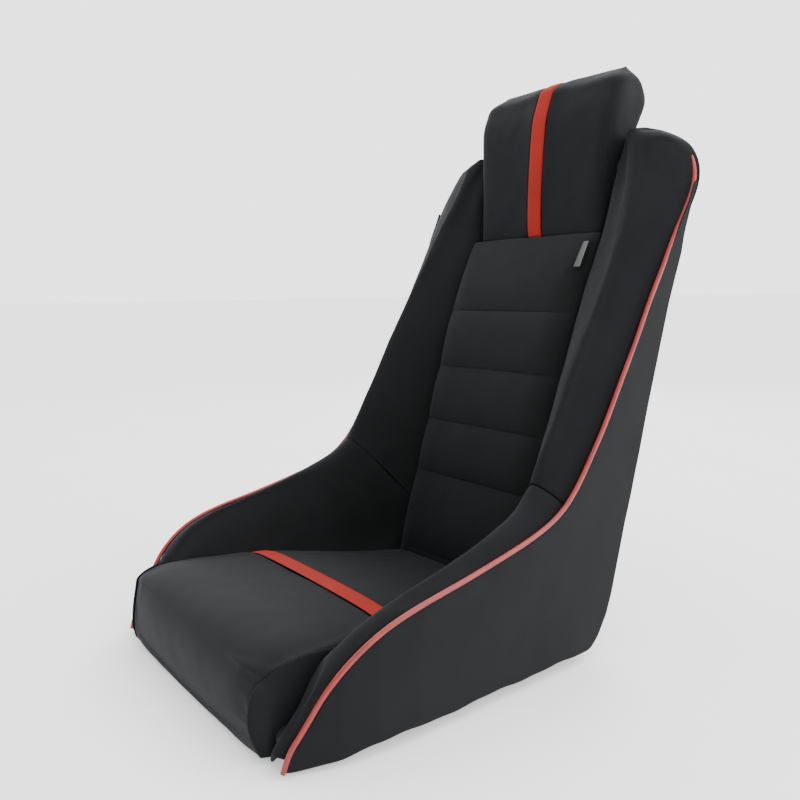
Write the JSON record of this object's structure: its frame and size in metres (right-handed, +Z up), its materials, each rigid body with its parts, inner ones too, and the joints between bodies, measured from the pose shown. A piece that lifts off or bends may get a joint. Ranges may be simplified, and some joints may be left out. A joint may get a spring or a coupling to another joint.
{
  "type": "racing seat",
  "caption": "Fixed-back bucket seat with raised thigh and shoulder bolsters, fluted back panel, integral headrest and a lift-out seat cushion on a padded tube frame.",
  "frame": {"origin": "centre of the four base mounting holes, on the underside of the mounting rails", "axes": "+Z up, -Y the way the seat faces, +X to the occupant's left; x = 0 is the seat's middle plane"},
  "size_m": [0.5594, 0.7428, 0.85],
  "materials": {
    "frame_steel": "black powder coat",
    "zinc_steel": "zinc plated",
    "webbing": "elastic upholstery webbing",
    "hardboard": "raw hardboard",
    "foam": "open-cell polyurethane foam",
    "cloth_black": "woven, matt",
    "cloth_red": "woven, matt",
    "piping_red": "satin vinyl cord",
    "tag_white": "plain woven tape"
  },
  "bodies": {
    "seat": {"tube_side_right": "frame_steel", "tube_side_left": "frame_steel", "tube_rim_right": "frame_steel", "tube_rim_left": "frame_steel", "tube_lumbar": "frame_steel", "tube_head_hoop": "frame_steel", "tube_cross_front": "frame_steel", "tube_cross_rear": "frame_steel", "tube_cross_head": "frame_steel", "rail_mount_left": "frame_steel", "rail_mount_right": "frame_steel", "nuts_mount": "zinc_steel", "straps_seat": "webbing", "hooks_seat": "zinc_steel", "straps_back": "webbing", "hooks_back": "zinc_steel", "cover_side_right": "cloth_black", "cover_side_left": "cloth_black", "board_side_right": "hardboard", "board_side_left": "hardboard", "rivets_boards": "zinc_steel", "board_back": "hardboard", "cover_rear": "cloth_black", "foam_thigh_right": "foam", "foam_thigh_left": "foam", "cover_thigh_right": "cloth_black", "cover_thigh_left": "cloth_black", "foam_bolster_right": "foam", "foam_bolster_left": "foam", "cover_bolster_right": "cloth_black", "cover_bolster_left": "cloth_black", "cover_backrest": "cloth_black", "foam_backrest": "foam", "tag_blank": "tag_white", "stripe_headrest": "cloth_red", "cover_headrest_right": "cloth_black", "cover_headrest_left": "cloth_black", "foam_headrest": "foam", "piping_right": "piping_red", "piping_left": "piping_red"},
    "cushion": {"cover_cushion_front": "cloth_black", "stripe_cushion": "cloth_red", "cover_cushion_rear": "cloth_black", "facing_cushion_right": "cloth_black", "facing_cushion_left": "cloth_black", "foam_cushion": "foam"}
  },
  "joints": [
    {"name": "cushion_lift", "type": "slide", "parent": "seat", "child": "cushion", "axis": [0, 0, 1], "range_m": [0, 0.2]}
  ]
}
